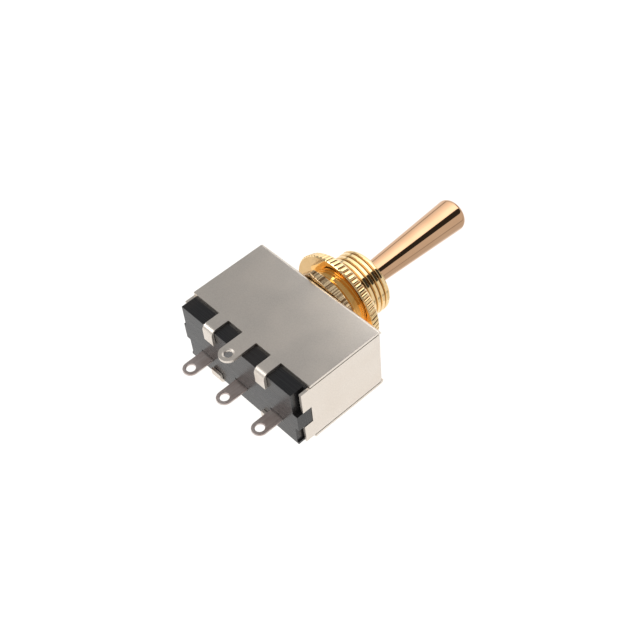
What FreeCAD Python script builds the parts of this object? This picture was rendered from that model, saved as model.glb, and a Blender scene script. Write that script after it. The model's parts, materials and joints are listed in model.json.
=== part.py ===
# Closed box toggle switch for choosing between two guitar pickups, three positions.
# Frame, in millimetres: the origin is on the bushing's axis, at the outer face of the knurled nut.
# +Y points out of the bushing along the lever, +Z out of the wide plate that carries the ground lug,
# and +X along the width of the box.
import FreeCAD, Part
import math
import os

V = FreeCAD.Vector

# Threaded bushing and its nuts
thread_radius = 5.9
thread_depth = 0.4
thread_pitch = 1.0
thread_angle = 60.0
nut_play = 0.05
free_thread = 5.65
bushing_chamfer = 0.35
ball_play = 0.1
mouth_wall = 1.6
ball_bore_top = 0.8
neck_step = 0.5
rim_overhang = 0.95
rim_thickness = 0.8
knurled_wall = 3.4
knurled_thickness = 1.85
knurl_count = 74
knurl_depth = 0.22
knurl_crest = 0.44
knurled_taper = 0.45
knurled_chamfer = 0.3
hex_wall = 1.1
hex_thickness = 1.7
hex_turn = -12.9
hex_chamfer_angle = 30.0
hex_face_margin = 0.35
nut_spacing = 1.05
hex_stand_off = 0.1

# Shield box, folded from one sheet
box_width = 28.0
plate_clearance = 0.7
sheet = 0.5
bend_radius = 0.7
plate_depth = 15.3
end_overhang = 1.9
seam = 0.2
tongue_start = 0.35
tongue_slope = 0.45
tongue_drop = 0.8
neck_hole_play = 0.03

# Bent claws and ground lug on the box's rear edges
claw_inset = 7.7
claw_width = 2.3
claw_bend_radius = 1.1
claw_gap = 0.08
upper_claw_leg = 3.3
lower_claw_leg = 2.2
ground_width = 3.25
ground_hole_overhang = 4.4
ground_hole_radius = 0.75
ground_dish_radius = 1.15
ground_dish_depth = 0.2

# Keyways in the end plates, and the block's keys in them
key_low = -2.1
key_high = 1.5
key_depth = 1.75
key_play = 0.06

# Moulded base block
block_overhang = 3.1
block_play = 0.05
end_wall = 2.95
floor_height = -2.5
roof_wall = 1.85
spring_slot = 0.4
spring_ledge = 0.95
end_relief_width = 0.55
end_relief_depth = 2.6
lower_relief_width = 0.3
claw_corner_chamfer = 0.45
claw_notch_play = 0.1

# Solder terminals
terminal_inset = 5.35
terminal_width = 2.85
terminal_thickness = 0.4
terminal_hole_overhang = 3.6
terminal_hole_radius = 0.82
terminal_slot_gap = 0.35
terminal_side_play = 0.05
common_half_width = 2.6
contact_gap = 0.6
contact_length = 3.6

# Lever, its pivot pin and its shoe
pivot_depth = 0.92
ball_radius = 2.75
mouth_lever_radius = 2.05
shoulder_radius = 3.06
shoulder_y = 26.45
crown_height = 1.5
shoulder_round = 1.3
ball_neck_radius = 1.75
stem_radius = 1.4
stem_end_radius = 1.1
stem_hole_depth = 3.4
shoe_arm = 10.0
shoe_radius = 1.6
shoe_pin_radius = 0.6
shoe_length = 4.1
pin_radius = 0.7
pin_play = 0.05
pin_recess = 0.3
lever_swing = 13.0

# Slider, bridge contact and detent
slider_half_length = 6.3
slider_play = 0.05
slider_top = 2.7
slot_play = 0.09
slot_end_play = 0.4
slot_half_height = 1.9
slider_front_wall = 0.5
slider_rear_wall = 0.6
slider_middle_wall = 2.18
slider_rear_gap = 0.3
slider_front_gap = 0.25
bridge_half_length = 5.3
bridge_width = 3.0
bridge_thickness = 0.35
bridge_margin = 1.1
dimple_radius = 0.6
contact_play = 0.05
bridge_lift = 0.5
dimple_height = 0.4
bridge_play = 0.1
bridge_spring_offset = 2.9
bridge_spring_radius = 1.1
bridge_wire_radius = 0.14
bridge_spring_length = 2.6
bridge_spring_turns = 5
pocket_play = 0.15
notch_depth = 0.6
notch_half_width = 0.75
leaf_thickness = 0.22
leaf_width = 2.8
leaf_end_play = 0.15
leaf_clearance = 0.1
leaf_over_slider = 0.25
leaf_bow_half = 4.2
leaf_bend_radius = 0.5

# Guide cover between the bushing and the block
cover_thickness = 1.2
cover_pad_play = 0.1
cover_slot_play = 0.3
cover_slot_half_height = 1.75

# Sizes and places worked out from those above
core_radius = thread_radius - thread_depth
ball_bore_radius = ball_radius + ball_play
mouth_radius = thread_radius - mouth_wall
neck_radius = core_radius - neck_step
rim_radius = neck_radius + rim_overhang
knurled_radius = thread_radius + knurled_wall
hex_half_flats = thread_radius + hex_wall
hex_face_radius = hex_half_flats - hex_face_margin
knurled_back = -knurled_thickness
hex_front = knurled_back - nut_spacing
hex_back = hex_front - hex_thickness
front = hex_back - hex_stand_off
front_inside = front - sheet
rim_back = front_inside - rim_thickness
cover_back = rim_back - cover_thickness
plate_end = front - plate_depth
end_end = plate_end - end_overhang
rear_face = plate_end - block_overhang
half_width = box_width / 2
half_height = thread_radius + plate_clearance
inside_half_width = half_width - sheet
inside_half_height = half_height - sheet
block_half_width = inside_half_width - block_play
block_half_height = inside_half_height - block_play
chamber_half = block_half_width - end_wall
chamber_roof = block_half_height - roof_wall
claw_offset = half_width - claw_inset
claw_back = rear_face - claw_gap - sheet
ground_hole_y = plate_end - ground_hole_overhang
terminal_hole_y = rear_face - terminal_hole_overhang
pin_half_length = core_radius - pin_recess
pivot_y = -pivot_depth
shoe_y = pivot_y - shoe_arm
shoe_top = shoe_y - shoe_radius + shoe_length
swing = math.radians(lever_swing)
travel = shoe_arm * math.sin(swing)
slider_front = shoe_y + shoe_radius + slider_front_wall
slot_rear = shoe_y - shoe_radius - slot_end_play
recess_half_depth = bridge_width / 2 + bridge_play
contact_y = slot_rear - slider_middle_wall - recess_half_depth
slider_rear = contact_y - recess_half_depth - slider_rear_wall
chamber_rear = slider_rear - slider_rear_gap
slider_bottom = floor_height + slider_play
pad_back = slider_front + slider_front_gap
bridge_bottom = slider_bottom + dimple_height
bridge_top = bridge_bottom + bridge_thickness
bridge_reach = common_half_width + contact_gap + bridge_margin
leaf_half = chamber_half + spring_ledge - leaf_end_play
terminal_pitch = half_width - terminal_inset
terminal_places = {"left": -terminal_pitch, "common": 0.0, "right": terminal_pitch}


def block(x0, x1, y0, y1, z0, z1):
    """A box between two corners."""
    return Part.makeBox(x1 - x0, y1 - y0, z1 - z0, V(x0, y0, z0))


def turned(points):
    """A solid turned about the Y axis from (radius, y) corners; a third value makes the corner an arc's mid."""
    edges = []
    count = len(points)
    place = [V(p[0], p[1], 0) for p in points]
    i = 0
    while i < count:
        j = (i + 1) % count
        if len(points[j]) == 3:
            k = (j + 1) % count
            edges.append(Part.Arc(place[i], place[j], place[k]).toShape())
            i += 2
        else:
            edges.append(Part.LineSegment(place[i], place[j]).toShape())
            i += 1
    face = Part.Face(Part.Wire(edges))
    return face.revolve(V(0, 0, 0), V(0, 1, 0), 360)


def rod(radius, y0, y1):
    """A round bar along Y."""
    return Part.makeCylinder(radius, y1 - y0, V(0, y0, 0), V(0, 1, 0))


def upright(radius, x, y, z0, z1):
    """A round bar along Z."""
    return Part.makeCylinder(radius, z1 - z0, V(x, y, z0), V(0, 0, 1))


def prism(corners, direction):
    """A straight prism over a flat polygon."""
    return Part.Face(Part.makePolygon(corners + [corners[0]])).extrude(direction)


def fused(solids):
    """One solid without inner seams."""
    whole = solids[0]
    for solid in solids[1:]:
        whole = whole.fuse(solid)
    return whole.removeSplitter()


def bent_strip(x0, x1, points, radius, thickness):
    """Sheet of one thickness that follows (y, z) points on its outer face, with round bends.

    The sheet's body lies on the left of the way the points run.
    """
    outer, inner = [], []
    count = len(points)
    ways = []
    for i in range(count - 1):
        dy, dz = points[i + 1][0] - points[i][0], points[i + 1][1] - points[i][1]
        length = math.hypot(dy, dz)
        ways.append((dy / length, dz / length))
    here = V(x0, points[0][0], points[0][1])
    side = (-ways[0][1], ways[0][0])
    here_in = here + V(0, side[0], side[1]) * thickness
    start, start_in = here, here_in
    for i in range(1, count - 1):
        a, b = ways[i - 1], ways[i]
        corner = V(x0, points[i][0], points[i][1])
        turn = math.acos(max(-1.0, min(1.0, a[0] * b[0] + a[1] * b[1])))
        back = radius * math.tan(turn / 2)
        n = (-a[1], a[0])
        centre = corner - V(0, a[0], a[1]) * back + V(0, n[0], n[1]) * radius
        first = corner - V(0, a[0], a[1]) * back
        last = corner + V(0, b[0], b[1]) * back
        towards = corner - centre
        towards.normalize()
        small = radius - thickness
        edge_in = V(0, n[0], n[1]) * thickness
        m = (-b[1], b[0])
        outer.append(Part.LineSegment(here, first).toShape())
        outer.append(Part.Arc(first, centre + towards * radius, last).toShape())
        inner.append(Part.LineSegment(here_in, first + edge_in).toShape())
        inner.append(Part.Arc(first + edge_in, centre + towards * small,
                              last + V(0, m[0], m[1]) * thickness).toShape())
        here, here_in = last, last + V(0, m[0], m[1]) * thickness
    end = V(x0, points[-1][0], points[-1][1])
    m = (-ways[-1][1], ways[-1][0])
    end_in = end + V(0, m[0], m[1]) * thickness
    outer.append(Part.LineSegment(here, end).toShape())
    inner.append(Part.LineSegment(here_in, end_in).toShape())
    ends = [Part.LineSegment(start, start_in).toShape(), Part.LineSegment(end, end_in).toShape()]
    face = Part.Face(Part.Wire(Part.__sortEdges__(outer + inner + ends)))
    return face.extrude(V(x1 - x0, 0, 0))


def across(shape):
    """Turns a strip that was drawn along Y and Z so that it lies along X and Z."""
    return shape.rotated(V(0, 0, 0), V(0, 0, 1), -90)


def end_plate():
    """The end plate at +X, with its bend into the front plate, its rear tongue and its keyway."""
    bend_half = half_height - bend_radius
    flat_half = half_height - sheet - seam
    tongue_half = half_height - tongue_drop
    bend_line = front - bend_radius
    lap = 2 * sheet
    path = [(front, half_width - bend_radius - lap), (front, half_width), (bend_line - lap, half_width)]
    bend = bent_strip(-bend_half, bend_half, path, bend_radius, sheet)
    bend = bend.rotated(V(0, 0, 0), V(0, 1, 0), 90)
    flat = block(half_width - sheet, half_width, end_end, bend_line, -flat_half, flat_half)
    rise = plate_end - tongue_start
    level = rise - tongue_slope
    outline = [(rise, -flat_half), (level, -tongue_half), (end_end, -tongue_half),
               (end_end, tongue_half), (level, tongue_half), (rise, flat_half)]
    tongue = prism([V(half_width - sheet, y, z) for y, z in outline], V(sheet, 0, 0))
    keyway = block(half_width - 2 * sheet, half_width + sheet, end_end - sheet, end_end + key_depth,
                   key_low, key_high)
    return fused([flat, bend, tongue]).cut(keyway)


def ground_lug():
    """The flat solder lug that runs straight back from the upper plate."""
    y = ground_hole_y
    half = ground_width / 2
    low = half_height - sheet
    tab = block(-half, half, y, plate_end + sheet, low, half_height)
    tab = tab.fuse(upright(half, 0, y, low, half_height))
    dish = Part.makeCone(ground_hole_radius, ground_dish_radius, ground_dish_depth,
                         V(0, y, half_height - ground_dish_depth), V(0, 0, 1))
    return tab.cut(upright(ground_hole_radius, 0, y, low - sheet, half_height + sheet)).cut(dish)


def claws():
    """The four tabs bent over the block's rear face, longer on the upper plate."""
    made = []
    start = plate_end + sheet
    upper = [(start, half_height), (claw_back, half_height), (claw_back, half_height - upper_claw_leg)]
    lower = [(claw_back, lower_claw_leg - half_height), (claw_back, -half_height), (start, -half_height)]
    for side in (-1, 1):
        x0 = side * claw_offset - claw_width / 2
        for path in (upper, lower):
            made.append(bent_strip(x0, x0 + claw_width, path, claw_bend_radius, sheet))
    return made


def shield_box():
    """Five-sided cover folded from one sheet, with open seams, bent claws and the ground lug."""
    path = [(plate_end, -half_height), (front, -half_height), (front, half_height),
            (plate_end, half_height)]
    channel = bent_strip(-half_width, half_width, path, bend_radius, sheet)
    bend_half = half_height - bend_radius
    for side in (-1, 1):
        x = side * (half_width - bend_radius / 2)
        reach = bend_radius / 2
        channel = channel.cut(block(x - reach, x + reach, front - bend_radius, front,
                                    -bend_half, bend_half))
    right = end_plate()
    left = right.mirror(V(0, 0, 0), V(1, 0, 0))
    whole = fused([channel, right, left, ground_lug()] + claws())
    return whole.cut(rod(neck_radius + neck_hole_play, front_inside - sheet, front + sheet))


def thread_groove(y):
    """Profile corners of one V groove round the bushing, rising in y."""
    half = thread_depth * math.tan(math.radians(thread_angle / 2))
    return [(thread_radius, y - half), (core_radius, y), (thread_radius, y + half)]


def bushing():
    """Threaded bushing; its inner rim is turned over behind the front plate.

    The thread is cut as rings, one groove for each turn, and is plain at its core where a nut is on.
    """
    end = free_thread
    free_grooves = []
    for i in range(int((end - bushing_chamfer) / thread_pitch)):
        free_grooves += thread_groove((i + 0.5) * thread_pitch)
    profile = [
        (rim_radius, rim_back), (rim_radius, front_inside), (neck_radius, front_inside),
        (neck_radius, front), (thread_radius, front), (thread_radius, hex_back),
        (core_radius, hex_back), (core_radius, hex_front), (thread_radius, hex_front),
        *thread_groove((hex_front + knurled_back) / 2),
        (thread_radius, knurled_back), (core_radius, knurled_back), (core_radius, 0),
        (thread_radius, 0), *free_grooves, (thread_radius, end - bushing_chamfer),
        (thread_radius - bushing_chamfer, end), (mouth_radius, end),
        (ball_bore_radius, ball_bore_top), (ball_bore_radius, rim_back),
    ]
    solid = turned(profile)
    return solid.cut(upright(pin_radius, 0, pivot_y, -thread_radius, thread_radius))


def hex_nut():
    """Thin hexagon nut, chamfered on the side away from the box."""
    corner = hex_half_flats / math.cos(math.pi / 6)
    places = []
    for i in range(6):
        angle = math.radians(hex_turn) + i * math.pi / 3
        places.append(V(corner * math.cos(angle), hex_back, corner * math.sin(angle)))
    prismatic = prism(places, V(0, hex_thickness, 0))
    drop = (corner - hex_face_radius) * math.tan(math.radians(hex_chamfer_angle))
    bore = core_radius + nut_play
    envelope = turned([(bore, hex_back), (corner, hex_back), (corner, hex_front - drop),
                       (hex_face_radius, hex_front), (bore, hex_front)])
    return prismatic.common(envelope)


def knurled_outline(y, radius):
    """Closed outline of the knurled rim at y; each crest takes its share of the knurl's pitch."""
    pitch = 2 * math.pi / knurl_count
    crest = knurl_crest / 2 * pitch
    outline = []
    for i in range(knurl_count):
        for turn, r in ((-crest, radius), (crest, radius), (pitch / 2, radius - knurl_depth)):
            angle = i * pitch + turn
            outline.append(V(r * math.cos(angle), y, r * math.sin(angle)))
    return Part.makePolygon(outline + [outline[0]])


def knurled_nut():
    """Round nut with straight knurls; its rim narrows a little towards the outer face."""
    front_radius = knurled_radius - knurled_taper
    toothed = Part.makeLoft([knurled_outline(knurled_back, knurled_radius),
                             knurled_outline(0, front_radius)], True, True)
    bore = core_radius + nut_play
    c = knurled_chamfer
    envelope = turned([(bore, knurled_back), (knurled_radius - c, knurled_back),
                       (knurled_radius, knurled_back + c), (knurled_radius, -c - knurled_taper),
                       (front_radius - c, 0), (bore, 0)])
    return toothed.common(envelope)


def lever():
    """Lever turned from one bar: crowned end, tapered bat, pivot ball and stem.

    The crown's arc and the shoulder's arc touch: crown = (s^2 - h^2 - a^2) / (2 (s - h)),
    with s the shoulder's round, h the crown's height and a the round's centre from the axis.
    """
    s, h = shoulder_round, crown_height
    a = shoulder_radius - s
    crown = (s * s - h * h - a * a) / (2 * (s - h))
    centre = shoulder_y + h - crown
    span = crown - s
    meet = (crown * a / span, centre + crown * (shoulder_y - centre) / span)
    half_angle = math.asin(meet[0] / crown) / 2
    crown_mid = (crown * math.sin(half_angle), centre + crown * math.cos(half_angle), 1)
    rise = math.atan2(meet[1] - shoulder_y, meet[0] - a) / 2
    round_mid = (a + s * math.cos(rise), shoulder_y + s * math.sin(rise), 1)
    slope = (shoulder_radius - mouth_lever_radius) / (shoulder_y - free_thread)
    neck_y = pivot_y + ball_radius + stem_end_radius
    neck_r = mouth_lever_radius - slope * (free_thread - neck_y)
    ball_top = pivot_y + math.sqrt(ball_radius ** 2 - ball_neck_radius ** 2)
    ball_low = pivot_y - math.sqrt(ball_radius ** 2 - stem_radius ** 2)
    end = shoe_top - stem_hole_depth
    solid = turned([
        (0, shoulder_y + h), crown_mid, meet, round_mid, (shoulder_radius, shoulder_y),
        (neck_r, neck_y), (ball_neck_radius, ball_top), (ball_radius, pivot_y, 1),
        (stem_radius, ball_low), (stem_end_radius, shoe_top), (shoe_pin_radius, shoe_top),
        (shoe_pin_radius, end), (0, end),
    ])
    return solid.cut(upright(pin_radius + pin_play, 0, pivot_y, -ball_radius, ball_radius))


def lever_shoe():
    """Moulded shoe on the stem; its ball end works in the slider's slot."""
    top = math.sqrt(shoe_radius ** 2 - stem_end_radius ** 2)
    solid = turned([(0, shoe_y - shoe_radius), (shoe_radius, shoe_y, 1),
                    (stem_end_radius, shoe_y + top), (stem_end_radius, shoe_top), (0, shoe_top)])
    return solid.cut(rod(shoe_pin_radius, shoe_top - stem_hole_depth, shoe_top))


def pivot_pin():
    """Steel pin through the bushing and the lever's ball."""
    return upright(pin_radius, 0, pivot_y, -pin_half_length, pin_half_length)


def base_block():
    """Moulded block that closes the box and holds the terminals and the slider's chamber.

    The upper half of its end is relieved at +X only.
    """
    w, h = block_half_width, block_half_height
    solid = block(-w, w, rear_face, cover_back, -h, h)
    solid = solid.cut(block(-chamber_half, chamber_half, chamber_rear, cover_back,
                            floor_height, chamber_roof))
    leaf_room = leaf_width / 2 + leaf_end_play
    slot_half_length = chamber_half + spring_ledge
    solid = solid.cut(block(-slot_half_length, slot_half_length, contact_y - leaf_room,
                            cover_back, chamber_roof, chamber_roof + spring_slot))
    for name in terminal_places:
        solid = solid.cut(terminal_room(name))
    relief_front = rear_face + end_relief_depth
    key_front = end_end + key_depth - key_play
    for side in (-1, 1):
        def strip(x0, x1, y1, z0, z1):
            low, high = sorted((side * x0, side * x1))
            return block(low, high, rear_face, y1, z0, z1)
        if side > 0:
            solid = solid.cut(strip(w - end_relief_width, w, relief_front, key_high - key_play, h))
        solid = solid.cut(strip(w - lower_relief_width, w, relief_front, -h + sheet,
                                key_low + key_play))
        key = strip(w - end_relief_width, half_width - key_play, key_front,
                    key_low + key_play, key_high - key_play)
        solid = solid.fuse(key)
        for top in (-1, 1):
            solid = solid.cut(claw_corner(side, top))
    return solid.removeSplitter()


def claw_corner(side, top):
    """The wedge taken off the block's edge under one claw's bend."""
    c = claw_corner_chamfer
    x0 = side * claw_offset - claw_width / 2 - claw_notch_play
    z = top * block_half_height
    return prism([V(x0, rear_face, z), V(x0, rear_face + c, z), V(x0, rear_face, z - top * c)],
                 V(claw_width + 2 * claw_notch_play, 0, 0))


def blade_span(name):
    """The ends along X of a terminal's contact blade."""
    inner = common_half_width + contact_gap
    outer = terminal_pitch + terminal_width / 2
    return {"left": (-outer, -inner), "common": (-common_half_width, common_half_width),
            "right": (inner, outer)}[name]


def terminal_room(name):
    """The slot through the rear wall and the recess in the floor for one terminal."""
    x = terminal_places[name]
    low = floor_height - terminal_thickness
    half = terminal_width / 2 + terminal_side_play
    slot = block(x - half, x + half, rear_face, chamber_rear, low, floor_height + terminal_slot_gap)
    x0, x1 = blade_span(name)
    front_end = contact_y + contact_length / 2 + terminal_side_play
    recess = block(x0 - terminal_side_play, x1 + terminal_side_play, chamber_rear, front_end,
                   low, floor_height)
    return slot.fuse(recess)


def terminal(name):
    """Flat terminal: a round-ended solder lug outside and a wide contact blade inside."""
    x = terminal_places[name]
    low = floor_height - terminal_thickness
    half = terminal_width / 2
    hole_y = terminal_hole_y
    blade_rear = contact_y - contact_length / 2
    x0, x1 = blade_span(name)
    lug = block(x - half, x + half, hole_y, blade_rear, low, floor_height)
    eye = upright(half, x, hole_y, low, floor_height)
    blade = block(x0, x1, blade_rear, contact_y + contact_length / 2, low, floor_height)
    hole = upright(terminal_hole_radius, x, hole_y, low - sheet, floor_height + sheet)
    return fused([lug, eye, blade]).cut(hole)


def guide_cover():
    """Moulded cover between the bushing and the block; its slot guides the lever's stem."""
    w, h = block_half_width, block_half_height
    pad_half = chamber_half - cover_pad_play
    solid = block(-w, w, cover_back, rim_back, -h, h)
    pad = block(-pad_half, pad_half, pad_back, cover_back,
                floor_height + cover_pad_play, chamber_roof - cover_pad_play)
    reach = (pivot_y - pad_back) * math.tan(swing) + stem_radius + cover_slot_play
    slot = block(-reach, reach, pad_back, rim_back, -cover_slot_half_height, cover_slot_half_height)
    return fused([solid, pad]).cut(slot)


def slider():
    """Moulded slider with the lever's slot in front, the bridge underneath and notches on top."""
    length = slider_half_length
    solid = block(-length, length, slider_rear, slider_front, slider_bottom, slider_top)
    slot_half = shoe_radius + slot_play
    solid = solid.cut(block(-slot_half, slot_half, slot_rear, slider_front,
                            -slot_half_height, slot_half_height))
    recess_half = bridge_half_length + bridge_play
    solid = solid.cut(block(-recess_half, recess_half, contact_y - recess_half_depth,
                            contact_y + recess_half_depth,
                            slider_bottom, bridge_top + bridge_lift))
    for x in (-bridge_spring_offset, bridge_spring_offset):
        solid = solid.cut(upright(bridge_spring_radius + pocket_play, x, contact_y,
                                  bridge_top, bridge_top + bridge_spring_length))
    for x in (-travel, 0, travel):
        corners = [V(x - notch_half_width, slider_rear, slider_top),
                   V(x + notch_half_width, slider_rear, slider_top),
                   V(x, slider_rear, slider_top - notch_depth)]
        solid = solid.cut(prism(corners, V(0, contact_y + leaf_width - slider_rear, 0)))
    return solid


def bridge_contact():
    """Sprung bridge with three dimples that wipe over the terminals' blades."""
    half = bridge_width / 2
    solid = block(-bridge_half_length, bridge_half_length, contact_y - half, contact_y + half,
                  bridge_bottom, bridge_top)
    ball = (dimple_radius ** 2 + dimple_height ** 2) / (2 * dimple_height)
    for x in (-bridge_reach, 0, bridge_reach):
        cap = Part.makeSphere(ball, V(x, contact_y, slider_bottom + ball))
        below = block(x - ball, x + ball, contact_y - ball, contact_y + ball,
                      slider_bottom, bridge_bottom + bridge_thickness / 2)
        solid = solid.fuse(cap.common(below))
    return solid.removeSplitter()


def bridge_spring(side):
    """Small coil spring between the bridge and the slider's pocket."""
    wire = bridge_wire_radius
    radius = bridge_spring_radius - wire
    height = bridge_spring_length - 2 * wire - contact_play
    low = bridge_top + wire + contact_play / 2
    helix = Part.makeHelix(height / bridge_spring_turns, height, radius)
    section = Part.Wire(Part.makeCircle(wire, V(radius, 0, 0), V(0, 1, 0)))
    coil = Part.Wire(helix.Edges).makePipeShell([section], True, True)
    return coil.translated(V(side * bridge_spring_offset, contact_y, low))


def detent_spring():
    """Leaf spring over the slider; its middle drops into one of the slider's three notches."""
    half = leaf_half
    low = slider_top - notch_depth + leaf_clearance
    shelf = slider_top + leaf_over_slider
    bump = (shelf - low) * notch_half_width / notch_depth
    path = [(-half, chamber_roof), (-leaf_bow_half, chamber_roof), (-bump, shelf), (0, low),
            (bump, shelf), (leaf_bow_half, chamber_roof), (half, chamber_roof)]
    strip = bent_strip(-contact_y - leaf_width / 2, -contact_y + leaf_width / 2, path,
                       leaf_bend_radius, leaf_thickness)
    return across(strip)


def pieces():
    """Every piece of the switch by name."""
    made = {
        "shield_box": shield_box(),
        "bushing": bushing(),
        "hex_nut": hex_nut(),
        "knurled_nut": knurled_nut(),
        "lever": lever(),
        "lever_shoe": lever_shoe(),
        "pivot_pin": pivot_pin(),
        "base_block": base_block(),
        "guide_cover": guide_cover(),
        "slider": slider(),
        "bridge_contact": bridge_contact(),
        "bridge_spring_left": bridge_spring(-1),
        "bridge_spring_right": bridge_spring(1),
        "detent_spring": detent_spring(),
    }
    for name in terminal_places:
        made["terminal_" + name] = terminal(name)
    return made


def main():
    """Writes one STEP file for each piece and prints its size."""
    os.makedirs("parts", exist_ok=True)
    for name, shape in pieces().items():
        box = shape.BoundBox
        print(name, shape.isValid(), len(shape.Solids), round(shape.Volume, 2),
              [round(v, 2) for v in (box.XMin, box.XMax, box.YMin, box.YMax, box.ZMin, box.ZMax)])
        shape.exportStep("parts/" + name + ".step")
    print("slider travel each way", round(travel, 4))


main()
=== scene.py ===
"""Looks of the closed box toggle switch: nickel cover, gold bushing, nuts and lever, moulded block and lugs.

Lengths are in millimetres, but for the floor, the flat studio cards, the merge distance and the lens's
near limit, which are in metres as the finished pieces are. The bushing's axis is Y, the wide plate with
the ground lug faces +Z, and the box's width runs along X.
"""
import json
import math

import bmesh
import bpy
import numpy as np
from mathutils import Matrix, Vector


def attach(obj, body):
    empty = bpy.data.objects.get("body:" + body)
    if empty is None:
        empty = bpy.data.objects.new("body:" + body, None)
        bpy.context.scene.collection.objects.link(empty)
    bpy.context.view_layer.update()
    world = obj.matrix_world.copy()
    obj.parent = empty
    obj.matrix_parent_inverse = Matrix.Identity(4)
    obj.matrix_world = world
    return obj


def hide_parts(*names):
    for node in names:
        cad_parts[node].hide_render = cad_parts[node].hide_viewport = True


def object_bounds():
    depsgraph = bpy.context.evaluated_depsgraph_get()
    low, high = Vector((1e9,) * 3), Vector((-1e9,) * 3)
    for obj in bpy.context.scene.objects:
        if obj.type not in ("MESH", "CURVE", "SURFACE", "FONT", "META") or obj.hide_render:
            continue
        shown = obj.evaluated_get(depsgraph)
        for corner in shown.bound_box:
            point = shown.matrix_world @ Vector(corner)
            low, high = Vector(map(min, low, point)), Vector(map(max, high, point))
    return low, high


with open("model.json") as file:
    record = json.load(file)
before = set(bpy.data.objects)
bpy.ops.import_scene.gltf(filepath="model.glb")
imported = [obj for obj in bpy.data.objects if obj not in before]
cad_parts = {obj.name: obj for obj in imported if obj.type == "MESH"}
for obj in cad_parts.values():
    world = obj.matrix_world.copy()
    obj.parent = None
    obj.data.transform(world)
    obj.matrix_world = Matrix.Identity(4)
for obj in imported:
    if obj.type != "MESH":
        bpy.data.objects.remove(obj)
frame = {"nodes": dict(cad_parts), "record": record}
cad_box = [list(map(float, corner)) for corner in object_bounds()]

MM = 0.001
TURN = 2 * math.pi

# Edges sharper than this many degrees are eased or kept sharp; the widths are those of the eased edges
edge_angle = 35
sheet_edge = 0.07
block_edge = 0.045
lug_edge = 0.08

# Bushing; groove_share is the V groove's share of the pitch
thread_radius = 5.9
thread_depth = 0.4
thread_pitch = 1.0
groove_share = 0.44
thread_start = math.radians(55.4)
thread_end = 5.65
end_chamfer = 0.45
end_slope = 0.9
start_slope = 3.0
front = -4.7
front_inside = -5.2
rim_back = -6.0
neck_radius = 5.0
rim_radius = 5.95
mouth_radius = 4.3
bore_radius = 2.85
bore_top = 0.8

# Nuts
nut_bore = 5.55
knurled_radius = 9.3
knurled_thickness = 1.85
knurl_count = 60
knurl_depth = 0.24
knurled_taper = 0.45
knurled_chamfer = 0.3
hex_half_flats = 7.0
hex_face_radius = 6.65
hex_front = -2.9
hex_back = -4.6
hex_turn = math.radians(-12.9)
hex_chamfer = math.radians(30)
hex_corner_cut = 0.06
hex_foot_round = 0.08

# Lever
pivot_y = -0.92
ball_radius = 2.75
ball_neck_radius = 1.75
stem_radius = 1.4
stem_end_radius = 1.1
shoe_top = -8.42
shoe_pin_radius = 0.6
shoe_pin_end = -11.82
mouth_lever_radius = 2.05
shoulder_radius = 3.06
shoulder_y = 26.45
crown_height = 1.5
shoulder_round = 1.3


# Meshes

def skin(name, rows, sharp, closed=False, capped=False, marks=()):
    """Mesh over rows of ring points: each ring joins the next, and the last joins the first when closed.

    When capped, each end ring closes on its own middle point. Points come in millimetres. Each mark is
    a name and a number for every point, kept with the mesh for its material to read.
    """
    count, around = rows.shape[:2]
    points = rows.reshape(-1, 3)
    i = np.arange(count if closed else count - 1)[:, None]
    j = np.arange(around)[None, :]
    after = (i + 1) % count
    beside = (j + 1) % around
    quads = np.stack([i * around + j, i * around + beside, after * around + beside, after * around + j], -1)
    faces = quads.reshape(-1, 4).tolist()
    for row in (0, count - 1) if capped else ():
        ring = row * around + np.arange(around)
        middle = np.full(around, len(points))
        faces += np.stack([ring, np.roll(ring, -1), middle], -1).tolist()
        points = np.vstack([points, rows[row].mean(axis=0)])
    mesh = bpy.data.meshes.new(name)
    mesh.from_pydata((points * MM).tolist(), [], faces)
    for label, values in marks:
        mark = np.zeros(len(points), np.float32)
        mark[:count * around] = values.ravel()
        mesh.attributes.new(label, "FLOAT", "POINT").data.foreach_set("value", mark)
    return finished(name, mesh, sharp)


def finished(name, mesh, sharp):
    """Object at the origin over a mesh, faces outwards, smooth but at edges of so many degrees or more."""
    work = bmesh.new()
    work.from_mesh(mesh)
    bmesh.ops.recalc_face_normals(work, faces=work.faces)
    work.to_mesh(mesh)
    work.free()
    mesh.shade_smooth()
    mesh.set_sharp_from_angle(angle=math.radians(sharp))
    piece = bpy.data.objects.new(name, mesh)
    bpy.context.scene.collection.objects.link(piece)
    return piece


def turned_rows(radius, y, around):
    """Rings about the Y axis: x = r cos t, z = r sin t, with r and y given along the profile."""
    t = np.arange(around) / around * TURN
    radius = np.broadcast_to(np.asarray(radius, float).reshape(len(y), -1), (len(y), around))
    y = np.broadcast_to(np.asarray(y, float).reshape(len(y), -1), (len(y), around))
    return np.stack([radius * np.cos(t), y, radius * np.sin(t)], -1)


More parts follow.
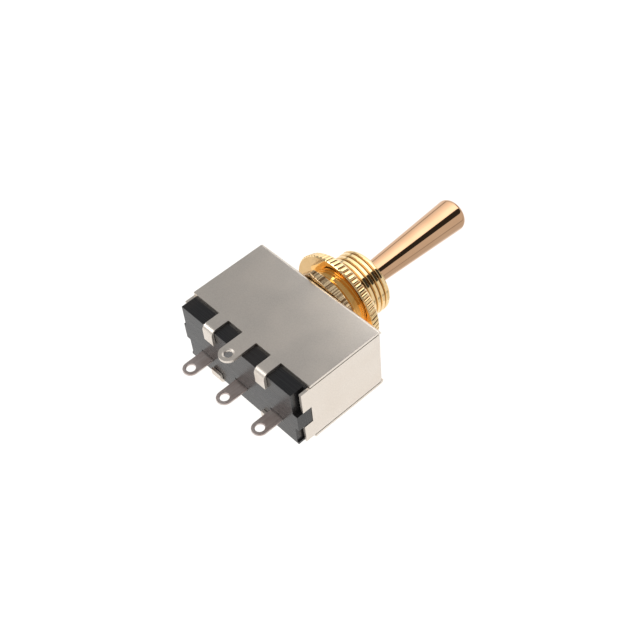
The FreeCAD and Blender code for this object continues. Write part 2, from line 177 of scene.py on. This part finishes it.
def rounded(corners, radii, steps=4):
    """Profile round a closed outline's (radius, y) corners, each cut by a curve of steps + 1 points.

    The curve for radius q leaves both sides at q tan(turn / 2) from the corner, and at most at 0.45 of
    a side. Its points blend the first touch point, the corner and the last touch point with the
    weights (1-s)^2, 2 s (1-s) and s^2.
    """
    corners = np.asarray(corners, float)
    back = np.roll(corners, 1, axis=0) - corners
    ahead = np.roll(corners, -1, axis=0) - corners
    back_length = np.hypot(*back.T)
    ahead_length = np.hypot(*ahead.T)
    back = back / back_length[:, None]
    ahead = ahead / ahead_length[:, None]
    turn = np.pi - np.arccos(np.clip((back * ahead).sum(axis=1), -1, 1))
    most = 0.45 * np.minimum(back_length, ahead_length)
    reach = np.minimum(np.asarray(radii, float) * np.tan(turn / 2), most)
    s = np.linspace(0, 1, steps + 1)[None, :, None]
    first = (corners + back * reach[:, None])[:, None]
    last = (corners + ahead * reach[:, None])[:, None]
    curve = (1 - s) ** 2 * first + 2 * s * (1 - s) * corners[:, None] + s ** 2 * last
    return curve.reshape(-1, 2)


def arc(centre_y, radius, start, end, steps, centre_radius=0.0):
    """Profile points (radius, y) on a circle, for angles measured from the outward direction."""
    a = np.radians(np.linspace(start, end, steps))
    return np.stack([centre_radius + radius * np.cos(a), centre_y + radius * np.sin(a)], -1)


def softer_min(a, b, blend):
    """The smaller of two lengths, with the crease between them rounded over about the blend."""
    return -blend * np.log(np.exp(-a / blend) + np.exp(-b / blend))


def bushing_skin():
    """Threaded bushing, closed through its bore.

    The thread's radius is crest - depth * w, where w is 0 on a flat land and rises to 1 in a V
    groove, both set by (y / pitch - (t - start) / turn), so the land climbs one pitch in each turn.
    The mean of three neighbouring phases eases the edges. A cone cuts the free end, and another
    lets the thread rise out of the neck.
    """
    around, rows_per_turn, phase_apart, last_row_short = 240, 26, 0.025, 0.02
    end_crease, start_crease = 0.03, 0.05
    t = np.arange(around) / around * TURN
    y = np.arange(front, thread_end - last_row_short, thread_pitch / rows_per_turn)[:, None]
    phase = y / thread_pitch - (t[None, :] - thread_start) / TURN
    near = (phase[..., None] + np.array([-phase_apart, 0.0, phase_apart])) % 1.0
    groove = 1 - np.clip(np.abs(near * 2 - 1) / groove_share, 0, 1).mean(axis=-1)
    ridge = thread_radius - thread_depth * groove
    end_cone = thread_radius - end_chamfer + (thread_end - y) * end_slope
    start_cone = neck_radius + (y - front) * start_slope
    ridge = softer_min(softer_min(ridge, end_cone, end_crease), start_cone, start_crease)
    outside = turned_rows(ridge, y, around)
    # Each corner is five points; those of the corners that the thread and the bore share are left out.
    lead = rounded([(bore_radius, rim_back), (rim_radius, rim_back), (rim_radius, front_inside),
                    (neck_radius, front_inside), (neck_radius, front)], [0.1, 0.15, 0.05, 0.02, 0.0])[5:-5]
    tail = rounded([(thread_radius - end_chamfer, thread_end), (mouth_radius, thread_end),
                    (bore_radius, bore_top), (bore_radius, rim_back)], [0.06, 0.12, 0.1, 0.0])[:-5]
    rows = np.concatenate([turned_rows(lead[:, :1], lead[:, 1], around), outside,
                           turned_rows(tail[:, :1], tail[:, 1], around)])
    # Painted shade: the groove depth on the free thread only is kept as a mark, and the gold finish darkens
    # the grooves with it.
    depth = np.zeros(rows.shape[:2])
    depth[len(lead):len(lead) + len(outside)] = groove * (y > 0) * (y < thread_end - end_chamfer)
    return skin("threaded_bushing", rows, sharp=50, closed=True, marks=[("groove", depth)])


def knurled_nut_skin():
    """Round nut: its radius is the least of a knurled cone and two chamfer cones, creases rounded.

    The cone's radius is R - taper * share of the thickness - depth * g(t), with g = s^3 and s the
    distance from a knurl's crest over half the pitch, so each knurl is broad and its grooves narrow.
    """
    points_per_knurl, rows_across = 16, 38
    crease, front_break, back_break = 0.02, 0.1, 0.05
    around = knurl_count * points_per_knurl
    t = np.arange(around) / around * TURN
    away = np.abs((t * knurl_count / TURN + 0.5) % 1.0 - 0.5) * 2
    groove = (away ** 3)[None, :]
    y = np.linspace(-knurled_thickness, 0, rows_across)[:, None]
    cone = knurled_radius - knurled_taper * (y + knurled_thickness) / knurled_thickness - knurl_depth * groove
    back = knurled_radius - knurled_chamfer + (y + knurled_thickness)
    ahead = knurled_radius - knurled_taper - knurled_chamfer - y
    outside = turned_rows(softer_min(softer_min(cone, back, crease), ahead, crease), y, around)
    front_ring = turned_rows([[nut_bore + front_break], [nut_bore]], np.array([0.0, -front_break]), around)
    back_ring = turned_rows([[nut_bore], [nut_bore + back_break]],
                            np.array([back_break - knurled_thickness, -knurled_thickness]), around)
    rows = np.concatenate([outside, front_ring, back_ring])
    # Painted shade: the knurls' groove depth is kept as a mark, and the gold finish darkens the grooves with
    # it.
    depth = np.zeros(rows.shape[:2])
    depth[:len(outside)] = groove * (cone < back) * (cone < ahead)
    return skin("knurled_ring_nut", rows, sharp=30, closed=True, marks=[("groove", depth)])


def hex_nut_skin():
    """Hexagon nut: radius = flats / cos(angle from the flat's middle), cut by the chamfer's cone.

    The cone's radius is the face's radius + (front - y) / tan(chamfer); the crease is rounded. The
    corners are cut a little, and each flat's foot is a quarter circle: r - q (1 - sqrt(1 - (1 - h/q)^2)),
    with q the foot's round and h the height over the back.
    """
    around, foot_rows, side_rows, side_start = 720, 3, 34, 0.15
    corner_crease, chamfer_crease, mark_blend = 0.03, 0.04, 0.06
    front_break, break_depth = 0.12, 0.1
    t = np.arange(around) / around * TURN
    flat = (t - hex_turn) % (TURN / 6) - TURN / 12
    hexagon = hex_half_flats / np.cos(flat)
    hexagon = softer_min(hexagon, hex_half_flats / math.cos(TURN / 12) - hex_corner_cut, corner_crease)
    y = np.concatenate([np.linspace(hex_back, hex_back + hex_foot_round, foot_rows),
                        np.linspace(hex_back + side_start, hex_front, side_rows)])[:, None]
    cone = hex_face_radius + (hex_front - y) / math.tan(hex_chamfer)
    over = np.clip((y - hex_back) / hex_foot_round, 0, 1)
    foot = hexagon[None, :] - hex_foot_round * (1 - np.sqrt(1 - (1 - over) ** 2))
    outside = turned_rows(softer_min(foot, cone, chamfer_crease), y, around)
    front_ring = turned_rows([[nut_bore + front_break], [nut_bore]],
                             np.array([hex_front, hex_front - break_depth]), around)
    back_ring = turned_rows([[nut_bore], [nut_bore + break_depth]],
                            np.array([hex_back + break_depth, hex_back]), around)
    rows = np.concatenate([outside, front_ring, back_ring])
    flats = np.zeros(rows.shape[:2])
    flats[:len(outside)] = np.clip((cone - foot) / mark_blend, 0, 1)
    return skin("hexagon_nut", rows, sharp=edge_angle, closed=True, marks=[("flat_face", flats)])


def lever_skin():
    """Lever turned about Y: crown arc, shoulder arc, tapered bat, pivot ball, stem and shoe pin.

    The crown's arc and the shoulder's arc touch: crown = (s^2 - h^2 - a^2) / (2 (s - h)),
    with s the shoulder's round, h the crown's height and a the round's centre from the axis.
    """
    s, h = shoulder_round, crown_height
    a = shoulder_radius - s
    crown = (s * s - h * h - a * a) / (2 * (s - h))
    centre = shoulder_y + h - crown
    meet = math.degrees(math.atan2(shoulder_y - centre, a))
    slope = (shoulder_radius - mouth_lever_radius) / (shoulder_y - thread_end)
    neck_y = pivot_y + ball_radius + stem_end_radius
    lean = math.degrees(math.atan(slope))
    ball_top = math.degrees(math.acos(ball_neck_radius / ball_radius))
    ball_low = -math.degrees(math.acos(stem_radius / ball_radius))
    first_angle, neck_rise, around = 89.7, 0.25, 192
    bat_y = np.linspace(shoulder_y - s * math.sin(math.radians(lean)), neck_y, 60)[1:]
    bat = np.stack([mouth_lever_radius + slope * (bat_y - thread_end), bat_y], -1)
    stem = [(stem_radius, pivot_y - math.sqrt(ball_radius ** 2 - stem_radius ** 2)),
            (stem_end_radius, shoe_top), (shoe_pin_radius, shoe_top), (shoe_pin_radius, shoe_pin_end)]
    profile = np.concatenate([
        arc(centre, crown, first_angle, meet, 40), arc(shoulder_y, s, meet, -lean, 30, a)[1:], bat,
        [(ball_neck_radius, pivot_y + ball_radius * math.sin(math.radians(ball_top)) + neck_rise)],
        arc(pivot_y, ball_radius, ball_top, ball_low, 40), stem])
    rows = turned_rows(profile[:, :1], profile[:, 1], around)
    return skin("bat_lever", rows, sharp=edge_angle, capped=True)


def eased(node, name, width):
    """A node's own faces, merged flat by flat, with its sharp edges rounded off by the width."""
    merge_distance, flat_angle = 1e-6, 0.4
    mesh = frame["nodes"][node].data.copy()
    mesh.name = name
    mesh.materials.clear()
    work = bmesh.new()
    work.from_mesh(mesh)
    bmesh.ops.remove_doubles(work, verts=work.verts, dist=merge_distance)
    bmesh.ops.dissolve_limit(work, angle_limit=math.radians(flat_angle), verts=work.verts, edges=work.edges)
    work.to_mesh(mesh)
    work.free()
    if mesh.has_custom_normals:
        mesh.attributes.remove(mesh.attributes["custom_normal"])
    piece = finished(name, mesh, edge_angle)
    bevel = piece.modifiers.new("eased edges", "BEVEL")
    bevel.width = width * MM
    bevel.segments = 2
    bevel.limit_method = "ANGLE"
    bevel.angle_limit = math.radians(edge_angle)
    bevel.harden_normals = True
    smooth = piece.modifiers.new("flat faces stay flat", "WEIGHTED_NORMAL")
    smooth.keep_sharp = True
    smooth.weight = 80
    return piece


# Shared finishes

def group(name, inputs, outputs):
    """An empty shader node group with named number or vector inputs and outputs."""
    tree = bpy.data.node_groups.new(name, "ShaderNodeTree")
    for label, kind, value in inputs:
        socket = tree.interface.new_socket(label, in_out="INPUT", socket_type=kind)
        socket.default_value = value
    for label, kind in outputs:
        tree.interface.new_socket(label, in_out="OUTPUT", socket_type=kind)
    return tree, tree.nodes.new("NodeGroupInput"), tree.nodes.new("NodeGroupOutput")


def surface_grain():
    """Fine grain over soft clouds: grain and cloud in 0 to 1, and a height for the bump."""
    tree, given, out = group("surface grain", [
        ("Vector", "NodeSocketVector", (0, 0, 0)), ("Grain size", "NodeSocketFloat", 4000.0),
        ("Cloud size", "NodeSocketFloat", 250.0)],
        [("Grain", "NodeSocketFloat"), ("Cloud", "NodeSocketFloat"), ("Height", "NodeSocketFloat")])
    link = tree.links.new
    fine = tree.nodes.new("ShaderNodeTexNoise")
    fine.inputs["Detail"].default_value = 3
    fine.inputs["Roughness"].default_value = 0.6
    soft = tree.nodes.new("ShaderNodeTexNoise")
    soft.inputs["Detail"].default_value = 2
    spread = tree.nodes.new("ShaderNodeMapRange")
    spread.inputs["From Min"].default_value = 0.3
    spread.inputs["From Max"].default_value = 0.7
    clouds = tree.nodes.new("ShaderNodeMapRange")
    clouds.inputs["From Min"].default_value = 0.35
    clouds.inputs["From Max"].default_value = 0.65
    link(given.outputs["Vector"], fine.inputs["Vector"])
    link(given.outputs["Grain size"], fine.inputs["Scale"])
    link(given.outputs["Vector"], soft.inputs["Vector"])
    link(given.outputs["Cloud size"], soft.inputs["Scale"])
    link(fine.outputs["Fac"], spread.inputs["Value"])
    link(soft.outputs["Fac"], clouds.inputs["Value"])
    link(spread.outputs["Result"], out.inputs["Grain"])
    link(clouds.outputs["Result"], out.inputs["Cloud"])
    link(fine.outputs["Fac"], out.inputs["Height"])
    return tree


def drawn_lines():
    """Fine lines drawn along one axis: noise on coordinates that are scaled apart, as mask and height."""
    tree, given, out = group("drawn lines", [
        ("Vector", "NodeSocketVector", (0, 0, 0)), ("Stretch", "NodeSocketVector", (1, 1, 1)),
        ("Low", "NodeSocketFloat", 0.4), ("High", "NodeSocketFloat", 0.6)],
        [("Line", "NodeSocketFloat"), ("Height", "NodeSocketFloat")])
    link = tree.links.new
    scaled = tree.nodes.new("ShaderNodeVectorMath")
    scaled.operation = "MULTIPLY"
    noise = tree.nodes.new("ShaderNodeTexNoise")
    noise.inputs["Scale"].default_value = 1.0
    noise.inputs["Detail"].default_value = 4
    noise.inputs["Roughness"].default_value = 0.65
    edge = tree.nodes.new("ShaderNodeMapRange")
    link(given.outputs["Vector"], scaled.inputs[0])
    link(given.outputs["Stretch"], scaled.inputs[1])
    link(scaled.outputs["Vector"], noise.inputs["Vector"])
    link(noise.outputs["Fac"], edge.inputs["Value"])
    link(given.outputs["Low"], edge.inputs["From Min"])
    link(given.outputs["High"], edge.inputs["From Max"])
    link(edge.outputs["Result"], out.inputs["Line"])
    link(noise.outputs["Fac"], out.inputs["Height"])
    return tree


GRAIN = surface_grain()
LINES = drawn_lines()


class Finish:
    """A material in the making: its Principled shader and small helpers for the nodes that feed it."""

    def __init__(self, name, metallic, **values):
        self.material = bpy.data.materials.new(name)
        self.material.use_nodes = True
        self.tree = self.material.node_tree
        self.shader = self.tree.nodes["Principled BSDF"]
        self.shader.inputs["Metallic"].default_value = metallic
        for label, value in values.items():
            self.shader.inputs[label.replace("_", " ")].default_value = value
        self.coordinates = self.tree.nodes.new("ShaderNodeTexCoord").outputs["Object"]

    def place(self, tree, **values):
        """Puts a shared group in, fed with object coordinates and this finish's own values."""
        node = self.tree.nodes.new("ShaderNodeGroup")
        node.node_tree = tree
        self.tree.links.new(self.coordinates, node.inputs["Vector"])
        for label, value in values.items():
            node.inputs[label.replace("_", " ")].default_value = value
        return node

    def mix(self, mask, low, high):
        """A colour between two, by a mask."""
        node = self.tree.nodes.new("ShaderNodeMix")
        node.data_type = "RGBA"
        self.tree.links.new(mask, node.inputs["Factor"])
        for socket, colour in ((node.inputs[6], low), (node.inputs[7], high)):
            if isinstance(colour, tuple):
                socket.default_value = (*colour, 1)
            else:
                self.tree.links.new(colour, socket)
        return node.outputs[2]

    def span(self, mask, low, high):
        """A number between two, by a mask."""
        node = self.tree.nodes.new("ShaderNodeMapRange")
        self.tree.links.new(mask, node.inputs["Value"])
        node.inputs["To Min"].default_value = low
        node.inputs["To Max"].default_value = high
        return node.outputs["Result"]

    def mark(self, name):
        """The number that a piece's mesh keeps under that name."""
        node = self.tree.nodes.new("ShaderNodeAttribute")
        node.attribute_name = name
        return node.outputs["Fac"]

    def times(self, one, other):
        """Two masks multiplied."""
        node = self.tree.nodes.new("ShaderNodeMath")
        node.operation = "MULTIPLY"
        self.tree.links.new(one, node.inputs[0])
        self.tree.links.new(other, node.inputs[1])
        return node.outputs[0]

    def bump(self, height, distance, strength, over=None):
        """A bump as high as the distance in millimetres, over another bump when one is given."""
        node = self.tree.nodes.new("ShaderNodeBump")
        node.inputs["Distance"].default_value = distance * MM
        node.inputs["Strength"].default_value = strength
        self.tree.links.new(height, node.inputs["Height"])
        if over:
            self.tree.links.new(over, node.inputs["Normal"])
        return node.outputs["Normal"]

    def feed(self, **links):
        """Joins outputs to the shader's sockets."""
        for label, output in links.items():
            self.tree.links.new(output, self.shader.inputs[label.replace("_", " ")])
        return self.material


def nickel_sheet():
    """Satin plated sheet: fine speckle, faint clouds and faint rolling lines along X."""
    finish = Finish("satin nickel sheet", 1.0)
    grain = finish.place(GRAIN, Grain_size=5200.0, Cloud_size=160.0)
    rolled = finish.place(LINES, Stretch=(90, 2600, 2600), Low=0.42, High=0.62)
    speckle = finish.mix(grain.outputs["Grain"], (0.70, 0.64, 0.575), (0.80, 0.735, 0.665))
    colour = finish.mix(finish.span(grain.outputs["Cloud"], 0.0, 0.3), speckle, (0.80, 0.72, 0.635))
    bumps = finish.bump(grain.outputs["Height"], 0.010, 0.5)
    bumps = finish.bump(rolled.outputs["Height"], 0.004, 0.3, bumps)
    return finish.feed(Base_Color=colour, Roughness=finish.span(grain.outputs["Cloud"], 0.36, 0.46),
                       Normal=bumps)


def gold_brass():
    """Polished yellow gold plate on the bushing and the knurled nut, duller in the grooves, which painted
    shade darkens to brown.
    """
    finish = Finish("yellow gold plate", 1.0)
    grain = finish.place(GRAIN, Grain_size=2600.0, Cloud_size=420.0)
    colour = finish.mix(grain.outputs["Cloud"], (0.90, 0.65, 0.33), (0.94, 0.70, 0.38))
    groove = finish.mark("groove")
    # Painted shade: a deep brown over the grooves, by their depth.
    colour = finish.mix(groove, colour, (0.34, 0.17, 0.07))
    bumps = finish.bump(grain.outputs["Height"], 0.002, 0.4)
    return finish.feed(Base_Color=colour, Roughness=finish.span(groove, 0.07, 0.22), Normal=bumps)


def gold_nut():
    """Gold plate on the hexagon nut: its flats keep fine drawn lines along Y, whose dark streaks are also a
    painted reflection, and its chamfer is smooth.
    """
    finish = Finish("gold plate with bar lines", 1.0)
    lines = finish.place(LINES, Stretch=(2600, 30, 2600), Low=0.42, High=0.58)
    flats = finish.mark("flat_face")
    # Drawn bar lines on the flats, whose near-black brown and bright gold streaks are also a painted
    # reflection.
    bar_lines_and_painted_reflection = finish.mix(lines.outputs["Line"], (0.20, 0.105, 0.045), (0.95, 0.72, 0.44))
    colour = finish.mix(flats, (0.98, 0.76, 0.44), bar_lines_and_painted_reflection)
    bumps = finish.bump(finish.times(lines.outputs["Height"], flats), 0.03, 0.6)
    return finish.feed(Base_Color=colour, Roughness=finish.span(flats, 0.08, 0.2), Normal=bumps)


def gold_lever():
    """Mirror polished rose gold."""
    finish = Finish("mirror rose gold", 1.0)
    grain = finish.place(GRAIN, Grain_size=1500.0, Cloud_size=260.0)
    colour = finish.mix(grain.outputs["Cloud"], (0.60, 0.365, 0.215), (0.63, 0.39, 0.235))
    return finish.feed(Base_Color=colour, Roughness=finish.span(grain.outputs["Grain"], 0.035, 0.06),
                       Normal=finish.bump(grain.outputs["Height"], 0.0006, 0.3))


def black_plastic():
    """Moulded black plastic with fine lines along X, a little browner in clouds."""
    finish = Finish("moulded black plastic", 0.0, IOR=1.45)
    lines = finish.place(LINES, Stretch=(120, 3000, 3000), Low=0.38, High=0.66)
    grain = finish.place(GRAIN, Grain_size=3800.0, Cloud_size=150.0)
    base = finish.mix(grain.outputs["Cloud"], (0.018, 0.018, 0.020), (0.032, 0.027, 0.025))
    colour = finish.mix(finish.span(lines.outputs["Line"], 0.0, 0.2), base, (0.046, 0.043, 0.042))
    bumps = finish.bump(lines.outputs["Height"], 0.003, 0.4)
    bumps = finish.bump(grain.outputs["Height"], 0.006, 0.4, bumps)
    return finish.feed(Base_Color=colour, Roughness=finish.span(lines.outputs["Line"], 0.24, 0.34),
                       Normal=bumps)


def tinned_terminal():
    """Dull tinned brass, brown in clouds."""
    finish = Finish("dull tinned brass", 1.0)
    grain = finish.place(GRAIN, Grain_size=3000.0, Cloud_size=380.0)
    rolled = finish.place(LINES, Stretch=(2600, 120, 2600), Low=0.4, High=0.62)
    tint = finish.mix(grain.outputs["Cloud"], (0.52, 0.42, 0.385), (0.66, 0.58, 0.55))
    colour = finish.mix(finish.span(rolled.outputs["Line"], 0.0, 0.35), tint, (0.78, 0.72, 0.69))
    return finish.feed(Base_Color=colour, Roughness=finish.span(grain.outputs["Grain"], 0.42, 0.56),
                       Normal=finish.bump(grain.outputs["Height"], 0.012, 0.5))


def white_nylon():
    """Moulded white nylon, faintly mottled."""
    finish = Finish("white nylon", 0.0, Subsurface_Weight=0.1, Subsurface_Scale=0.001)
    grain = finish.place(GRAIN, Grain_size=2200.0, Cloud_size=200.0)
    colour = finish.mix(grain.outputs["Cloud"], (0.78, 0.77, 0.72), (0.86, 0.85, 0.80))
    return finish.feed(Base_Color=colour, Roughness=finish.span(grain.outputs["Grain"], 0.38, 0.5),
                       Normal=finish.bump(grain.outputs["Height"], 0.008, 0.4))


def drawn_metal(name, dark, light, low, high):
    """Plain bar or strip metal with fine drawn lines along X."""
    finish = Finish(name, 1.0)
    lines = finish.place(LINES, Stretch=(150, 4000, 4000), Low=0.4, High=0.6)
    return finish.feed(Base_Color=finish.mix(lines.outputs["Line"], dark, light),
                       Roughness=finish.span(lines.outputs["Line"], low, high),
                       Normal=finish.bump(lines.outputs["Height"], 0.006, 0.4))


# The pieces

finishes = {
    "nickel_sheet": nickel_sheet(), "gold_brass": gold_brass(), "gold_lever": gold_lever(),
    "black_plastic": black_plastic(), "tinned_terminal": tinned_terminal(), "white_nylon": white_nylon(),
    "steel_pin": drawn_metal("ground steel", (0.50, 0.50, 0.51), (0.64, 0.64, 0.65), 0.2, 0.3),
    "contact_bronze": drawn_metal("contact bronze", (0.66, 0.46, 0.28), (0.78, 0.58, 0.37), 0.24, 0.36),
    "spring_steel": drawn_metal("spring steel", (0.42, 0.42, 0.43), (0.56, 0.56, 0.58), 0.22, 0.34),
}


def dress(piece, body, slot, *nodes, material=None):
    """Gives a new piece its body and its material, the given one or that of its slot, and hides the nodes it
    stands for.
    """
    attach(piece, body)
    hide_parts(*nodes)
    piece.data.materials.append(material or finishes[slot])


dress(bushing_skin(), "housing", "gold_brass", "bushing")
dress(knurled_nut_skin(), "housing", "gold_brass", "knurled_nut")
dress(hex_nut_skin(), "housing", "gold_brass", "hex_nut", material=gold_nut())
dress(lever_skin(), "lever", "gold_lever", "lever")
dress(eased("shield_box", "folded_cover", sheet_edge), "housing", "nickel_sheet", "shield_box")
dress(eased("base_block", "moulded_block", block_edge), "housing", "black_plastic", "base_block")
for which in ("left", "common", "right"):
    lug = eased("terminal_" + which, "solder_lug_" + which, lug_edge)
    dress(lug, "housing", "tinned_terminal", "terminal_" + which)

# The frame's own nodes, those inside the box among them, take their slots' finishes too.
for part in frame["record"]["subparts"]:
    for holder in frame["nodes"][part["node"]].material_slots:
        holder.material = finishes[part["material_slot"]]


# Floor, light and camera

def staged(name, points, faces, material):
    """A piece of the studio from points in metres."""
    mesh = bpy.data.meshes.new(name)
    mesh.from_pydata(points, [], faces)
    mesh.materials.append(material)
    card = bpy.data.objects.new(name, mesh)
    bpy.context.scene.collection.objects.link(card)
    return card


def level_card(name, low_x, high_x, low_y, high_y, z, material):
    """A plain level rectangle."""
    corners = [(low_x, low_y, z), (high_x, low_y, z), (high_x, high_y, z), (low_x, high_y, z)]
    return staged(name, corners, [(0, 1, 2, 3)], material)


def floor_material():
    """Pale floor that gives off a little light of its own, as a lit table does."""
    material = bpy.data.materials.new("pale floor")
    material.use_nodes = True
    shader = material.node_tree.nodes["Principled BSDF"]
    shader.inputs["Base Color"].default_value = (0.42, 0.42, 0.42, 1)
    shader.inputs["Roughness"].default_value = 0.9
    shader.inputs["Specular IOR Level"].default_value = 0.0
    shader.inputs["Emission Color"].default_value = (1, 0.99, 0.975, 1)
    shader.inputs["Emission Strength"].default_value = 0.93
    return material


def lit(name, stops):
    """Light of a studio card: each stop is an angle round the Y axis, in degrees, and a strength.

    The angle is atan2(z, x), from -90, straight down, over 0 at +X and 90, straight up, to 180 at -X.
    """
    lowest, highest = -90, 180
    material = bpy.data.materials.new(name)
    material.use_nodes = True
    tree = material.node_tree
    tree.nodes.clear()
    out = tree.nodes.new("ShaderNodeOutputMaterial")
    glow = tree.nodes.new("ShaderNodeEmission")
    place = tree.nodes.new("ShaderNodeTexCoord")
    split = tree.nodes.new("ShaderNodeSeparateXYZ")
    angle = tree.nodes.new("ShaderNodeMath")
    angle.operation = "ARCTAN2"
    share = tree.nodes.new("ShaderNodeMapRange")
    share.inputs["From Min"].default_value = math.radians(lowest)
    share.inputs["From Max"].default_value = math.radians(highest)
    ramp = tree.nodes.new("ShaderNodeValToRGB")
    elements = ramp.color_ramp.elements
    for spot, (degrees, strength) in enumerate(stops):
        position = (degrees - lowest) / (highest - lowest)
        if spot < 2:
            elements[spot].position = position
        stop = elements[spot] if spot < 2 else elements.new(position)
        stop.color = (strength, strength, strength, 1)
    link = tree.links.new
    link(place.outputs["Object"], split.inputs[0])
    link(split.outputs["Z"], angle.inputs[0])
    link(split.outputs["X"], angle.inputs[1])
    link(angle.outputs[0], share.inputs["Value"])
    link(share.outputs["Result"], ramp.inputs["Fac"])
    link(ramp.outputs["Color"], glow.inputs["Color"])
    link(glow.outputs[0], out.inputs["Surface"])
    return material


def reflected_only(card):
    """Keeps a studio card out of view and of soft light: it shows only in reflections."""
    card.visible_camera = False
    card.visible_shadow = False
    card.visible_diffuse = False


def studio_panel():
    """Half cylinder over the lever's line: x = r cos t, z = r sin t."""
    radius, near, far = 36.0, 14.3, 115.0
    t = np.linspace(0.0, math.pi, 91)
    y = np.array([near, far])
    rows = np.stack(np.broadcast_arrays(radius * np.cos(t)[None], y[:, None], radius * np.sin(t)[None]), -1)
    k = np.arange(len(t) - 1)
    faces = np.stack([k, k + 1, k + 1 + len(t), k + len(t)], -1).tolist()
    light = lit("studio panel", [
        (0, 0.86), (29, 0.88), (30.5, 0.04), (63, 0.04), (65, 2.0), (74, 2.3), (92, 2.2), (112, 1.7),
        (138, 1.3), (152, 1.1), (156, 0.4), (160, 0.4), (164, 1.1), (180, 1.15)])
    reflected_only(staged("studio_panel", (rows.reshape(-1, 3) * MM).tolist(), faces, light))


def rear_light():
    """Rectangle that faces the claws' bends from over the box's rear left corner."""
    aim, distance, half_width, half_height = Vector((0, -0.022, 0.006)), 0.120, 0.030, 0.033
    strength = 3.4
    towards = Vector((-0.52, -0.56, 0.64)).normalized()
    aside = towards.cross(Vector((0, 0, 1))).normalized()
    above = aside.cross(towards)
    middle = aim + distance * towards
    corners = [tuple(middle + half_width * a * aside + half_height * b * above)
               for a, b in ((-1, -1), (1, -1), (1, 1), (-1, 1))]
    light = lit("rear light", [(-90, strength), (180, strength)])
    reflected_only(staged("rear_light", corners, [(0, 1, 2, 3)], light))


floor_gap, card_lift, floor_half = 0.00002, 0.0001, 3.0
floor_z = cad_box[0][2] - floor_gap
level_card("pale_floor", -floor_half, floor_half, -floor_half, floor_half, floor_z, floor_material())
studio_panel()
reflected_only(level_card("grey_card", 0.004, 0.300, 0.010, 0.400, floor_z + card_lift, lit("grey card", [
    (-80, 1.1), (-64, 1.0), (-60, 0.78), (-22, 0.80), (-20, 0.45), (-17, 0.45), (-15, 0.86), (0, 0.86)])))
rear_light()

world = bpy.data.worlds.new("soft studio")
world.use_nodes = True
world.node_tree.nodes["Background"].inputs["Color"].default_value = (0.98, 0.99, 1.0, 1)
world.node_tree.nodes["Background"].inputs["Strength"].default_value = 0.42
bpy.context.scene.world = world
bpy.context.scene.view_settings.view_transform = "Standard"

camera_azimuth = math.radians(51.702)
camera_elevation = math.radians(48.716)
camera_roll = math.radians(-6.277)
camera_distance = 194.377
camera_aside, camera_above = -1.305, -0.544
frame_width = 630
focal_length = 1164.363 / frame_width
sensor_width = 36

back = Vector((math.sin(camera_azimuth) * math.cos(camera_elevation),
               -math.cos(camera_azimuth) * math.cos(camera_elevation), math.sin(camera_elevation)))
level = Vector((0, 0, 1)).cross(back).normalized()
rise = back.cross(level)
right = level * math.cos(camera_roll) + rise * math.sin(camera_roll)
up = rise * math.cos(camera_roll) - level * math.sin(camera_roll)
eye = right * camera_aside + up * camera_above + back * camera_distance + Vector((0, front, 0))
lens = bpy.data.cameras.new("photo_view")
lens.sensor_width = sensor_width
lens.lens = focal_length * sensor_width
lens.clip_start = 0.005
camera = bpy.data.objects.new("photo_view", lens)
bpy.context.scene.collection.objects.link(camera)
camera.matrix_world = Matrix.Translation(eye * MM) @ Matrix((right, up, back)).transposed().to_4x4()
bpy.context.scene.camera = camera
